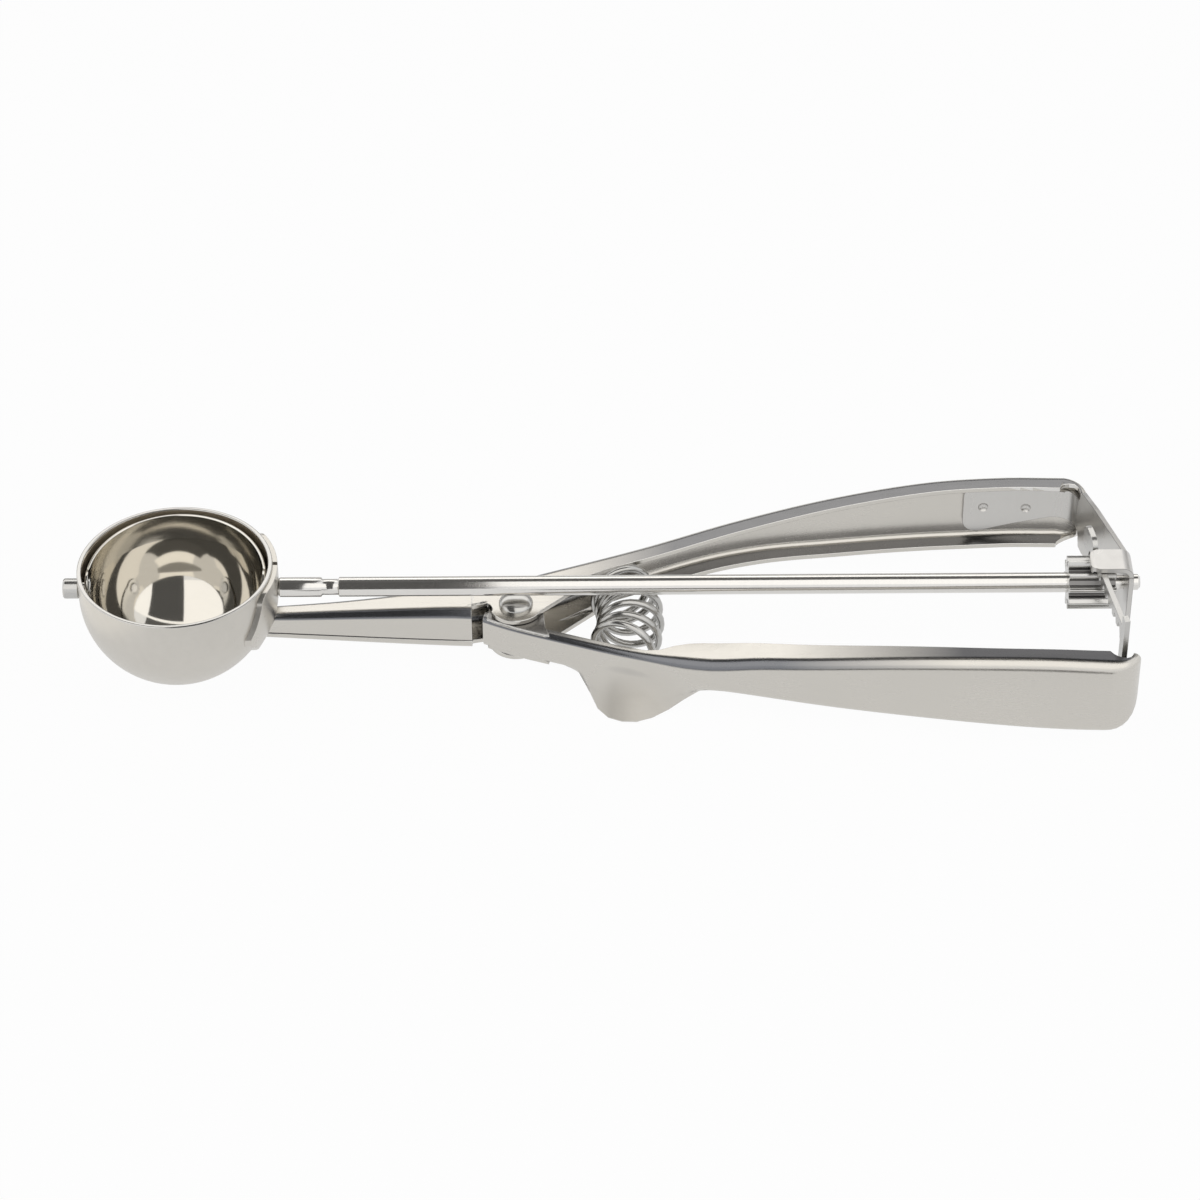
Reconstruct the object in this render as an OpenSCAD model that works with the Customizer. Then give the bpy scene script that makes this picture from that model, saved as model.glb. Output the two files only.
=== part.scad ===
// Lever ice cream scoop (squeeze-handle disher).
// A drawn bowl on a pressed frame, with a squeeze lever whose rack turns a pinion,
// a rod and a scraper blade inside the bowl. Millimetres.
// Design axes: X along the drive rod towards the handles, Y towards the fixed handle,
// Z up out of the bowl, with zero at the centre of the bowl's sphere.

/* [Bowl] */
// Outer radius of the bowl
bowl_r = 17.5; // [16.5:0.1:18.5]
// Sheet thickness of the bowl
bowl_wall = 0.8; // [0.6:0.1:1]
// Height of the bowl's straight wall above the sphere's centre
bowl_lip_h = 5; // [4.6:0.2:7]
// Thickness of the saddle sheet that carries the bowl
saddle_t = 0.9; // [0.7:0.1:1.2]
// Half width of the saddle across the bowl
saddle_half_w = 11; // [10:0.2:12]
// How far the saddle reaches below the rod's axis
saddle_drop = 12; // [11:0.2:13]

/* [Scraper] */
// Thickness of the scraper blade
blade_t = 0.5; // [0.4:0.1:0.7]
// Width of the scraper blade at mid length
blade_w = 5.8; // [4.5:0.1:6.4]
// Running gap between the blade and the bowl
blade_gap = 0.25; // [0.2:0.05:0.4]
// Angle of the resting blade above the rod's axis
blade_rest = 6.5; // [0:0.5:8]
// Radius of the blade's round ears
ear_r = 3.4; // [3.3:0.1:3.8]
// Radius of the front stud
stud_r = 1.85; // [1.6:0.05:2]
// Length of the front stud outside the bowl
stud_out = 2.8; // [2:0.1:3.5]

/* [Drive] */
// Radius of the drive rod
rod_r = 1.8; // [1.6:0.05:2]
// Radius of the turned neck in the rod
neck_r = 1.45; // [1.3:0.05:1.5]
// Distance of the neck from the bowl's centre
neck_x = 26.3; // [24:0.1:30]
// Length of the neck
neck_len = 2.8; // [2:0.1:4]
// Radius of the rod's and the stud's journals
journal_r = 1.2; // [1:0.05:1.3]
// Radial running clearance of a shaft in its hole
run_gap = 0.05; // [0.03:0.01:0.08]
// Gear module of the pinion and the rack
gear_m = 0.8; // [0.78:0.01:0.82]
// Number of teeth on the pinion
pinion_teeth = 10; // [10:1:10]
// Face width of the pinion
pinion_w = 8.4; // [8:0.1:8.6]
// Distance of the pinion's front face from the bowl's centre
pinion_x = 160.2; // [158:0.1:162]

/* [Pivot] */
// Distance of the pivot from the bowl's centre
pivot_x = 61; // [59:0.5:63]
// Radius of the rivet's shank
rivet_r = 2; // [1.7:0.1:2.2]
// Radius of the rivet's heads
rivet_head_r = 3.1; // [2.8:0.1:3.4]
// Height of the rivet's domed heads
rivet_head_h = 1.5; // [1.2:0.1:1.7]
// Radius of the frame's round ears
lobe_r = 4.9; // [4.6:0.1:5.2]

/* [Handles] */
// Thickness of the pressed sheet
sheet_t = 0.9; // [0.7:0.1:1]
// Gap between the rod's underside and the frame's ears
rod_gap = 2.46; // [2.2:0.02:2.8]
// Height of the frame over its ears
ear_h = 8.9; // [8.4:0.1:9.4]
// Gap between the lever's ears and the frame's ears
ear_gap = 0.1; // [0.06:0.01:0.15]
// Height of the handles at their rear ends
handle_h = 14.6; // [14:0.1:15]
// How far the handles' top edges rise from the ears to the rear end
handle_rise = 5.2; // [4.6:0.1:5.6]
// Largest distance of the fixed handle's web from the rod's axis
fixed_out = 32.45; // [31.5:0.1:33.5]
// Largest distance of the lever's web from the rod's axis
lever_out = 26.5; // [25.8:0.1:27.2]
// Depth of the handles' flanges
flange_w = 4.3; // [3.8:0.1:4.6]
// Radius of the handles' rear corners seen from above
end_r = 5.5; // [5.2:0.1:5.8]
// Length of the lip that forms the lever's finger lobe
lobe_lip = 3.6; // [3.2:0.1:3.8]
// Radius of the roll that leads into the finger lobe, at its quarter turn
lobe_roll = 5.1; // [4.6:0.1:5.2]

/* [Spring] */
// Outer diameter of the coil
coil_d = 12.4; // [11:0.1:12.6]
// Diameter of the spring wire
wire_d = 1.3; // [1.1:0.1:1.4]
// Number of turns
coil_turns = 6; // [5:0.5:6.5]

/* [Rack and bracket] */
// Thickness of the rack
rack_t = 1; // [0.8:0.05:1.1]
// Thickness of the bracket sheet
bracket_t = 0.9; // [0.8:0.05:1]
// Width of the bracket's tab over the rack
tab_w = 5.8; // [5:0.1:6]

/* [Hidden] */
$fn = 64;
// gap left between sheets that are spot welded together
weld_gap = 0.06;

// ---- curves ----
// smooth curve through [position, value] keys, held level past its ends
function key_slope(k, i) =
    let (n = len(k) - 1, a = max(i - 1, 0), b = min(i + 1, n)) (k[b][1] - k[a][1]) / (k[b][0] - k[a][0]);
function key_span(k, u, i = 0) = i >= len(k) - 2 || u < k[i + 1][0] ? i : key_span(k, u, i + 1);
function smooth(k, u) =
    u <= k[0][0] ? k[0][1] : u >= k[len(k) - 1][0] ? k[len(k) - 1][1] :
    let (i = key_span(k, u), h = k[i + 1][0] - k[i][0], s = (u - k[i][0]) / h)
    k[i][1] * (2 * s * s * s - 3 * s * s + 1) + key_slope(k, i) * h * (s * s * s - 2 * s * s + s)
    + k[i + 1][1] * (3 * s * s - 2 * s * s * s) + key_slope(k, i + 1) * h * (s * s * s - s * s);
function arc_points(c, r, a0, a1, n) =
    [for (i = [0:n]) let (a = a0 + (a1 - a0) * i / n) [c[0] + r * cos(a), c[1] + r * sin(a)]];
function mix(a, b, s) = a + (b - a) * s;
function reversed(list) = [for (i = [len(list) - 1:-1:0]) list[i]];

// ---- bowl and scraper sizes ----
bowl_in = bowl_r - bowl_wall;
blade_out = bowl_in - blade_gap;
blade_in = blade_out - blade_t;
hole_r = journal_r + run_gap;
inner_head_r = journal_r + 0.75;
inner_head_h = 0.55;

// ---- pivot and handle levels ----
ear_top = -rod_r - rod_gap;
ear_bottom = ear_top - ear_h;
lever_top_z = ear_top - sheet_t - ear_gap;
lever_bottom_z = ear_bottom + sheet_t + ear_gap;
handle_top = ear_top + handle_rise;
bend_n = 6;
bend_r = 2;

// ---- shank: folded tube between the saddle and the pivot, seam at its lower near corner ----
shank_x0 = sqrt(pow(bowl_r + saddle_t, 2) - pow(ear_bottom + 2.5, 2)) - 0.8;
shank_x1 = pivot_x - 8;
web_root = 8.3;
shank_far = [[shank_x0, 1.75], [30, 2.9], [shank_x1 - 6, 5.3], [shank_x1, 6.5], [pivot_x, web_root],
             [pivot_x + 4, web_root + 1.35]];
shank_near = [[shank_x0, -1.75], [shank_x1, -2.3]];
shank_top = [[shank_x0, ear_top - 1.2], [shank_x1 - 6, ear_top], [pivot_x, ear_top]];
shank_low = [[shank_x0, ear_bottom + 2.5], [shank_x1 - 2, ear_bottom], [pivot_x, ear_bottom]];
shank_bend = [[shank_x0, 1.2], [shank_x1, 2]];
seam_gap = 0.15;

// ---- handle shapes: keys are shares of the handle's length, spread and height ----
fixed_len = pinion_x + 1.6 - pivot_x;
lever_len = pinion_x + 5.2 - pivot_x;
fixed_bow = [[0, 0], [0.216, 0.31], [0.393, 0.6], [0.571, 0.832], [0.75, 0.977], [0.893, 0.994], [1, 0.955]];
fixed_top_share = [[0, 0], [0.3, 0.27], [0.6, 0.58], [1, 1]];
fixed_low_share = [[0, (handle_top - ear_bottom) / handle_h], [0.06, (handle_top - ear_bottom) / handle_h], [0.13, 0.88], [0.3, 0.802], [0.43, 0.835],
                   [0.57, 0.955], [0.7, 1.025], [0.8, 1.045], [0.9, 1.015], [1, 0.97]];
lever_nose = -0.058;
lever_bow = [[-0.058, 0.109], [0, 0.217], [0.067, 0.319], [0.18, 0.4755], [0.295, 0.5925], [0.41, 0.6717],
             [0.543, 0.7585], [0.695, 0.853], [0.848, 0.943], [0.94, 0.985], [1, 1]];
lever_top_share = [[0.1, 0], [0.32, 0.02], [0.42, 0.27], [0.49, 0.41], [0.66, 0.8], [0.83, 1.12],
                   [0.92, 1.22], [1, 1.22]];
lever_low_share = [[0.05, (handle_top - lever_bottom_z - 0.05) / handle_h], [0.1, 0.886], [0.35, 0.879], [0.43, 0.909],
                   [0.54, 0.955], [0.7, 0.985], [0.85, 0.99], [1, 0.975]];
// finger lobe of the lever: the lower flange is left hanging and flared outwards
lobe_turn = [[0.065, 90], [0.09, 60], [0.123, 8], [0.165, -36], [0.215, -40], [0.25, -16], [0.285, 20],
             [0.315, 55], [0.345, 90]];
lobe_len = [[0.065, 0], [0.095, 0.2], [0.128, 0.65], [0.165, 0.95], [0.205, 1], [0.235, 0.85], [0.265, 0.6],
            [0.295, 0.3], [0.32, 0.1], [0.345, 0]];
lever_flange_share = [[-0.05, 0.5], [0.05, 0.45], [0.2, 0.45], [0.232, 0.5], [0.262, 1], [0.3, 1.35], [0.36, 1.43],
                      [0.42, 1.34], [0.49, 1.26], [0.66, 1.1], [0.83, 0.97], [1, 1]];
lever_bend_share = [[0.05, 0.55], [0.145, 0.58], [0.22, 0.62], [0.26, 0.8], [0.3, 0.95], [0.5, 0.95], [0.7, 1]];

function fixed_y(x) = x < pivot_x ? smooth(shank_far, x)
    : web_root + (fixed_out - web_root) * smooth(fixed_bow, (x - pivot_x) / fixed_len);
function fixed_zt(x) = x < pivot_x ? smooth(shank_top, x)
    : mix(ear_top, handle_top, smooth(fixed_top_share, (x - pivot_x) / fixed_len));
function fixed_zb(x) = x < pivot_x ? smooth(shank_low, x)
    : handle_top - handle_h * smooth(fixed_low_share, (x - pivot_x) / fixed_len);
function lever_u(x) = (x - pivot_x) / lever_len;
function lever_y(x) = -lever_out * smooth(lever_bow, lever_u(x));
function lever_zt(x) = mix(lever_top_z - 0.05, handle_top, smooth(lever_top_share, lever_u(x)));
function lever_zb(x) = handle_top - handle_h * smooth(lever_low_share, lever_u(x));
function heading(f0, f1, dx) = atan((f1 - f0) / dx);

// ---- folded sheet: a walk in the section plane, its inner offset, and the sweep ----
// each move is [turn before, length, turn after]; the walk returns [across, height, direction]
function bend_moves(r, turn) =
    [for (i = [1:bend_n]) [turn / (2 * bend_n), 2 * r * sin(90 / (2 * bend_n)), turn / (2 * bend_n)]];
function walk(start, a0, moves) =
    [for (i = 0, p = start, a = a0; i <= len(moves);
          p = i < len(moves) ? p + moves[i][1] * [cos(a + moves[i][0]), sin(a + moves[i][0])] : p,
          a = i < len(moves) ? a + moves[i][0] + moves[i][2] : a,
          i = i + 1) [p[0], p[1], a]];
function with_inside(w, t) =
    concat([for (q = w) [q[0], q[1]]], reversed([for (q = w) [q[0] - t * sin(q[2]), q[1] + t * cos(q[2])]]));
// channel section: upper flange, web and lower flange, open towards +across
function channel(zt, zb, flange, rt, rb, turn, lip) =
    with_inside(walk([flange, zt], 180,
        concat([[0, flange - rt, 0]], bend_moves(rt, 90), [[0, zt - rt - zb - rb, 0]],
               bend_moves(rb, turn), [[0, lip, 0]])), sheet_t);
// a ring of the section, placed at [x, y] with its web along the heading h; side +1 opens to the left
function ring(section, x, y, h, side) =
    [for (q = section) [x - side * q[0] * sin(h), y + side * q[0] * cos(h), q[1]]];
function flat(lists) = [for (l = lists) each l];
module sweep_sheet(rings, flip) {
    m = len(rings[0]);
    n = len(rings);
    sides = [for (i = [0:n - 2], j = [0:m - 1])
        let (a = i * m + j, b = i * m + (j + 1) % m, c = a + m, d = b + m) each [[a, b, d], [a, d, c]]];
    caps = [for (i = [0, n - 1], j = [0:m / 2 - 2])
        let (a = i * m + j, b = a + 1, c = i * m + m - 2 - j, d = c + 1)
        each i == 0 ? [[a, c, b], [a, d, c]] : [[a, b, c], [a, c, d]]];
    faces = concat(sides, caps);
    polyhedron(points = flat(rings), faces = flip ? [for (f = faces) reversed(f)] : faces);
}

// ---- fixed handle ----
// the channel starts a little inside the shank's walls and joins them
lap = 0.05;
fixed_end = pivot_x + fixed_len;
fixed_step = 2.4;
turn_n = 7;
turn_deg = 82;
function fixed_ring(x) =
    let (h0 = heading(fixed_y(x - 0.5), fixed_y(x + 0.5), 1), h = h0 * smooth([[shank_x1, 0], [pivot_x - 2, 1]], x),
         root = smooth([[shank_x1, 1], [pivot_x + 4, 0.6], [pivot_x + 16, 0]], x),
         flange = mix(flange_w, fixed_y(shank_x1) - smooth(shank_near, shank_x1) - bend_r, root))
    ring(channel(fixed_zt(x) - lap, fixed_zb(x) + lap, flange, bend_r, bend_r, 90, flange - bend_r),
         x, fixed_y(x) - lap, h, -1);
function corner_ring(c, side, x0, y0, h0, zt, zb) =
    let (h = h0 - side * turn_deg * c * -1, cx = x0 - side * end_r * sin(h0), cy = y0 + side * end_r * cos(h0),
         flange = mix(flange_w, 1.4, min(1, 1.6 * c)), r = mix(bend_r, 1.3, min(1, 1.6 * c)))
    ring(channel(zt - 0.8 * c * c, zb + 4 * pow(c, 2.2), flange, r, r, 90, max(0.3, flange - r)),
         cx + side * end_r * sin(h), cy - side * end_r * cos(h), h, side);
fixed_h1 = heading(fixed_y(fixed_end - 1), fixed_y(fixed_end), 1);
fixed_n = ceil((fixed_end - shank_x1) / fixed_step);
fixed_rings = concat(
    [for (i = [0:fixed_n]) fixed_ring(mix(shank_x1 - 0.7, fixed_end, i / fixed_n))],
    [for (i = [1:turn_n]) corner_ring(i / turn_n, -1, fixed_end, fixed_y(fixed_end) - lap, fixed_h1,
                                      fixed_zt(fixed_end), fixed_zb(fixed_end))]);

// ---- shank rings ----
shank_n = 12;
function shank_ring(x) =
    let (yn = smooth(shank_near, x), yf = fixed_y(x), zt = fixed_zt(x), zb = fixed_zb(x), r = smooth(shank_bend, x),
         w = walk([yn, zb + r + 0.3], 270,
                  concat([[0, 0.3, 0]], bend_moves(r, 90), [[0, yf - yn - 2 * r, 0]], bend_moves(r, 90),
                         [[0, zt - zb - 2 * r, 0]], bend_moves(r, 90), [[0, yf - yn - 2 * r, 0]], bend_moves(r, 90),
                         [[0, zt - zb - 2 * r - 0.3 - seam_gap, 0]])))
    [for (q = with_inside(w, sheet_t)) [x, q[0], q[1]]];
shank_rings = [for (i = [0:shank_n]) shank_ring(mix(shank_x0, shank_x1, i / shank_n))];

// ---- lever ----
lever_end = pivot_x + lever_len;
lever_start = pivot_x + lever_nose * lever_len;
lever_n = 46;
function lever_ring(x) =
    let (u = lever_u(x), h = heading(lever_y(x - 0.5), lever_y(x + 0.5), 1),
         flange = flange_w * smooth(lever_flange_share, u), r = bend_r * smooth(lever_bend_share, u),
         lobe = smooth(lobe_len, u), low_w = flange_w * smooth([[0.05, 0.5], [0.4, 0.75], [0.8, 1]], u))
    ring(channel(lever_zt(x), lever_zb(x), max(flange, r + 0.2), r, mix(bend_r * 0.9, lobe_roll, lobe),
                 smooth(lobe_turn, u),
                 mix(max(0.4, low_w - bend_r), lobe_lip, lobe)), x, lever_y(x), h, 1);
lever_h1 = heading(lever_y(lever_end - 1), lever_y(lever_end), 1);
lever_rings = concat(
    [for (i = [0:lever_n]) lever_ring(mix(lever_start, lever_end, i / lever_n))],
    [for (i = [1:turn_n]) corner_ring(i / turn_n, 1, lever_end, lever_y(lever_end), lever_h1,
                                      lever_zt(lever_end), lever_zb(lever_end))]);

// ---- gearing: the rack swings about the pivot and its gaps point at it ----
pitch_r = gear_m * pinion_teeth / 2;
tip_r = pitch_r + gear_m;
root_r = pitch_r - 1.05 * gear_m;
pressure = 20;
base_r = pitch_r * cos(pressure);
backlash = 0.1;
rack_x = pinion_x + 4.9;
rack_lean = 8.4;
rack_mesh_r = rack_x - pivot_x + 1.2;
drive_ratio = rack_mesh_r / pitch_r;
gap_step = 360 / pinion_teeth / drive_ratio;
rack_tip_z = pitch_r - 0.45 * gear_m;
rack_root_z = tip_r + 0.2;
rack_back_z = rack_root_z + 1.2;
tab_gap = 0.12;
tab_under = rack_back_z + tab_gap;
tab_far = 0.4;
tab_bend_r = 1.55;
rack_tip_u = -7.4;
rack_step_u = 19.8;
rack_bend_r = 3.3;
rack_flange_y = lever_out - sheet_t - weld_gap - rack_t / 2;
rack_bend_u = (rack_flange_y - (1 + sin(rack_lean)) * rack_bend_r) / cos(rack_lean);
rack_flange_x = lever_end - 10;
function involute(r) = let (a = acos(base_r / r)) tan(a) - a * PI / 180;
function tooth_half(r) = 90 / pinion_teeth - backlash / 4 / pitch_r * 180 / PI
    + (involute(pitch_r) - (r > base_r ? involute(r) : 0)) * 180 / PI;

// ---- bracket ----
bracket_out = pinion_x + 11.1;
bracket_bend_r = end_r - sheet_t - bracket_t / 2 - 1.6 * weld_gap;
bracket_cx = fixed_end + end_r * sin(fixed_h1);
bracket_cy = fixed_y(fixed_end) - lap - end_r * cos(fixed_h1);
bracket_lean = 11.9;
bracket_end_y = -5.6;
bracket_flange_x = fixed_end - 17.6;

// ---- placing: origin under the middle of the object's box ----
x_min = -(bowl_r + run_gap + stud_out);
x_max = bracket_out + 2;
y_max = max([for (r = fixed_rings, p = r) p[1]]);
y_min = min([for (r = lever_rings, p = r) p[1]]);
to_origin = [-(x_min + x_max) / 2, -(y_min + y_max) / 2, bowl_r];

// ---- bowl ----
function bowl_line(r, z1) = concat([[r, z1]], [for (a = [0:5:90]) [r * cos(a), -r * sin(a)]]);
module along_x(x0, x1, r) { translate([x0, 0, 0]) rotate([0, 90, 0]) cylinder(h = x1 - x0, r = r); }

module bowl() {
    color("gainsboro") difference() {
        rotate_extrude($fn = 96)
            polygon(concat(bowl_line(bowl_r, bowl_lip_h), reversed(bowl_line(bowl_in, bowl_lip_h))));
        along_x(-bowl_r - 1, -bowl_in + 2, hole_r);
        along_x(bowl_in - 2, bowl_r + 1, hole_r);
    }
}

module saddle_outline() {
    w = saddle_half_w;
    polygon(concat(
        [[bowl_lip_h - 0.6, 0.9], [bowl_lip_h - 4, 0.9], [bowl_lip_h - 4, 1.7], [bowl_lip_h - 0.6, 1.7]],
        arc_points([bowl_lip_h - 2.6, w - 1.5], 2, 0, 90, 5),
        arc_points([-3, w - 3], 3.5, 90, 150, 4),
        arc_points([3 - saddle_drop, 2.2], 3, 150, 180, 3),
        arc_points([3 - saddle_drop, -2.2], 3, 180, 210, 3),
        arc_points([-3, 3 - w], 3.5, 210, 270, 4),
        arc_points([bowl_lip_h - 2.6, -w * 0.62], 2, 270, 360, 5)));
}

module bowl_saddle() {
    color("silver") difference() {
        intersection() {
            rotate_extrude($fn = 96)
                polygon(concat(bowl_line(bowl_r + saddle_t, bowl_lip_h), reversed(bowl_line(bowl_r, bowl_lip_h))));
            translate([4, 0, 0]) rotate([0, 90, 0]) mirror([1, 0, 0]) linear_extrude(height = 20) saddle_outline();
        }
        along_x(bowl_in, bowl_r + saddle_t + 1, hole_r);
    }
}

// ---- frame ----
module ear_outline(xl) {
    difference() {
        union() {
            translate([pivot_x, 0]) circle(r = lobe_r);
            polygon(concat(
                [[xl, smooth(shank_near, shank_x1) + bend_r + 0.2]],
                [[pivot_x - lobe_r * cos(20), -lobe_r * sin(20) + 1.3]],
                [[pivot_x + lobe_r * cos(22), -lobe_r * sin(22)]],
                [[pivot_x + 16, fixed_y(pivot_x + 16) - flange_w]],
                [for (i = [0:6]) let (x = mix(pivot_x + 16, xl, i / 6)) [x, fixed_y(x) - bend_r - 0.4]]));
        }
        translate([xl + 1.7, smooth(shank_near, shank_x1) + bend_r - 1]) circle(r = 1.8);
        translate([pivot_x, 0]) circle(r = rivet_r);
    }
}

module main_frame() {
    color("silver") difference() {
        union() {
            sweep_sheet(shank_rings, true);
            sweep_sheet(fixed_rings, false);
            for (z = [ear_top - sheet_t, ear_bottom])
                translate([0, 0, z]) linear_extrude(height = sheet_t) ear_outline(shank_x1 + 0.3);
        }
        translate([pivot_x, 0, ear_bottom - 1]) cylinder(h = ear_h + 2, r = rivet_r);
        sphere(r = bowl_r + saddle_t + weld_gap, $fn = 96);
    }
}

module head(r, h) {
    rotate_extrude()
        polygon(concat([[0, 0], [r, 0]], [for (a = [0:15:90]) [r - 0.35 * h + 0.35 * h * cos(a) - (r - 0.35 * h)
            * pow(a / 90, 2.2), 0.25 * h + 0.75 * h * sin(a)]]));
}

module pivot_rivet() {
    color("gainsboro") translate([pivot_x, 0, 0]) union() {
        translate([0, 0, ear_bottom]) cylinder(h = ear_h, r = rivet_r);
        translate([0, 0, ear_top]) head(rivet_head_r, rivet_head_h);
        translate([0, 0, ear_bottom]) mirror([0, 0, 1]) head(rivet_head_r, rivet_head_h * 0.65);
    }
}

// ---- rear bracket ----
function bracket_mid() =
    let (a1 = bracket_lean, px = bracket_cx + bracket_bend_r * cos(a1), py = bracket_cy + bracket_bend_r * sin(a1))
    concat([for (i = [0:7]) let (x = mix(bracket_flange_x, fixed_end, i / 7),
                                 h = heading(fixed_y(x - 0.5), fixed_y(x + 0.5), 1),
                                 d = sheet_t + lap + bracket_t / 2 + weld_gap)
                [x + d * sin(h), fixed_y(x) - d * cos(h), h]],
           [for (i = [1:8]) let (a = mix(90 + fixed_h1, a1, i / 8))
                [bracket_cx + bracket_bend_r * cos(a), bracket_cy + bracket_bend_r * sin(a), a - 90]],
           [[bracket_out - bracket_t / 2 - 0.15, 2, -90 + a1 / 2]],
           [[bracket_out - bracket_t / 2, 0, -90]],
           [[bracket_out - bracket_t / 2, bracket_end_y, -90]]);
function strip(mid, t) =
    concat([for (q = mid) [q[0] - t / 2 * sin(q[2]), q[1] + t / 2 * cos(q[2])]],
           reversed([for (q = mid) [q[0] + t / 2 * sin(q[2]), q[1] - t / 2 * cos(q[2])]]));

module bracket_sheet_outline() {
    top = tab_under + bracket_t / 2 - tab_bend_r - 0.05;
    yoke_low = -6.4;
    polygon(concat(
        [[fixed_out, handle_top - bend_r - 0.75], [bracket_cy + 3.6, handle_top - bend_r - 0.75],
         [bracket_cy + 2.9, handle_top - bend_r - 0.15], [bracket_cy - 0.3, handle_top - bend_r - 0.15],
         [bracket_cy - 1.2, handle_top + 0.5]],
        [[bracket_cy - 8, mix(handle_top, top, 0.45)], [tab_far, top], [bracket_end_y, top]],
        arc_points([bracket_end_y + 2.6, yoke_low + 2.6], 2.6, 180, 270, 5),
        [[3, yoke_low - 0.9], [bracket_cy - 3.5, -10.9], [bracket_cy - 1.6, -10.8], [bracket_cy - 0.8, -7.8],
         [bracket_cy + 3, -7.8], [bracket_cy + 3.6, -12], [fixed_out, -12]]));
}

module bracket_flange_outline() {
    top = handle_top - bend_r - 0.75;
    low = 0.865 * (handle_top - handle_h);
    polygon(concat(
        [[fixed_end + 9, top]], arc_points([bracket_flange_x + 1.8, top - 1.8], 1.8, 90, 180, 5),
        arc_points([bracket_flange_x + 2.6, low + 2.6], 2.6, 180, 278, 6),
        [[fixed_end - 1.2, 0.575 * (handle_top - handle_h)], [fixed_end + 9, 0.575 * (handle_top - handle_h)]]));
}

module tab_profile() {
    mid = walk([bracket_out - bracket_t / 2, tab_under - 3], 90,
        concat([[0, 3 + bracket_t / 2 - tab_bend_r, 0]], bend_moves(tab_bend_r, 90), [[0, 6.35 - tab_bend_r, 0]],
               bend_moves(0.8, 80),
               [[0, 0.25, 0]]));
    polygon(strip(mid, bracket_t));
}

module tab_plan() {
    left = bracket_out - 7.6;
    near = tab_far - tab_w;
    polygon(concat([[bracket_out + 1, near], [bracket_out + 1, tab_far]],
        arc_points([left + 1.7, tab_far - 1.7], 1.7, 90, 180, 5),
        arc_points([left + 1.7, near + 1.7], 1.7, 180, 270, 5)));
}

module rear_bracket() {
    color("lightgray") difference() {
        union() {
            intersection() {
                translate([0, 0, -14]) linear_extrude(height = 26) polygon(strip(bracket_mid(), bracket_t));
                translate([pinion_x - 30, 0, 0]) rotate([90, 0, 90]) linear_extrude(height = 60)
                    bracket_sheet_outline();
                union() {
                    translate([0, fixed_out + 2, 0]) rotate([90, 0, 0]) linear_extrude(height = 10)
                        bracket_flange_outline();
                    translate([fixed_end + 1, -20, -20]) cube([20, 20 + bracket_cy - 0.8, 40]);
                    translate([fixed_end + 1, -20, -7.8]) cube([20, 60, 40]);
                }
            }
            intersection() {
                translate([0, tab_far, 0]) rotate([90, 0, 0]) linear_extrude(height = tab_w) tab_profile();
                translate([0, 0, -10]) linear_extrude(height = 30) tab_plan();
            }
        }
        along_x(bracket_out - 3, bracket_out + 3, hole_r);
        for (x = [fixed_end - 13.8, fixed_end - 6])
            translate([x, fixed_y(x) - sheet_t - bracket_t - 0.95, -6.2]) sphere(r = 1.3);
    }
}

// ---- lever ----
module lever_ear_outline() {
    inner = 0.4;
    difference() {
        polygon(concat(
            [for (i = [0:6]) let (x = mix(lever_start + 0.9, pivot_x + 6, i / 6)) [x, lever_y(x) + inner]],
            [[pivot_x + 5.4, lever_y(pivot_x + 5.4) + flange_w * 0.45]],
            arc_points([pivot_x, 0], lobe_r, 5, 175, 16)));
        translate([pivot_x, 0]) circle(r = rivet_r + run_gap);
    }
}

module lever_handle() {
    color("silver") difference() {
        union() {
            sweep_sheet(lever_rings, true);
            for (z = [lever_top_z - sheet_t, lever_bottom_z])
                translate([0, 0, z]) linear_extrude(height = sheet_t) lever_ear_outline();
        }
        translate([pivot_x, 0, ear_bottom - 1]) cylinder(h = ear_h + 2, r = rivet_r + run_gap);
    }
}

// ---- rack ----
module rack_side_outline() {
    head_top = rack_back_z + 2.2;
    root_top = rack_back_z + 1.9;
    polygon(concat(
        [[rack_tip_u + 1, rack_tip_z], [rack_step_u - 1.2, rack_tip_z], [rack_step_u - 0.4, rack_tip_z - 1.2],
         [rack_step_u - 0.4, handle_top - handle_h + 4], [rack_bend_u, handle_top - handle_h + 4],
         [rack_bend_u, root_top], [rack_step_u, root_top], [rack_step_u, rack_back_z]],
        [[-tab_far - 0.4, rack_back_z]],
        arc_points([-tab_far - 2.4, head_top - 2], 2, 0, 90, 5),
        arc_points([rack_tip_u + 2.4, head_top - 2.4], 2.4, 90, 180, 6)));
}

module rack_gap(i) {
    half = 90 / pinion_teeth * PI / 180 * pitch_r + backlash / 2;
    translate([pivot_x, 0, 0]) rotate([0, 0, -i * gap_step]) translate([rack_x - pivot_x - 8, 0, 0])
        rotate([90, 0, 90]) linear_extrude(height = 16)
            polygon([[-half - (pitch_r - 3) * tan(pressure) * 1, 3], [half + (pitch_r - 3) * tan(pressure), 3],
                     [half - (rack_root_z - pitch_r) * tan(pressure), rack_root_z],
                     [-half + (rack_root_z - pitch_r) * tan(pressure), rack_root_z]]);
}

module gear_rack() {
    color("lightgray") union() {
        difference() {
            translate([rack_x, 0, 0]) rotate([0, 0, rack_lean - 90]) translate([0, rack_t / 2, 0]) rotate([90, 0, 0])
                linear_extrude(height = rack_t) rack_side_outline();
            for (i = [-1:7]) rack_gap(i);
        }
        translate([0, 0, handle_top - handle_h + 4]) linear_extrude(height = handle_h - 4 - sheet_t - 1.3)
            rack_root_plan();
    }
}

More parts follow.
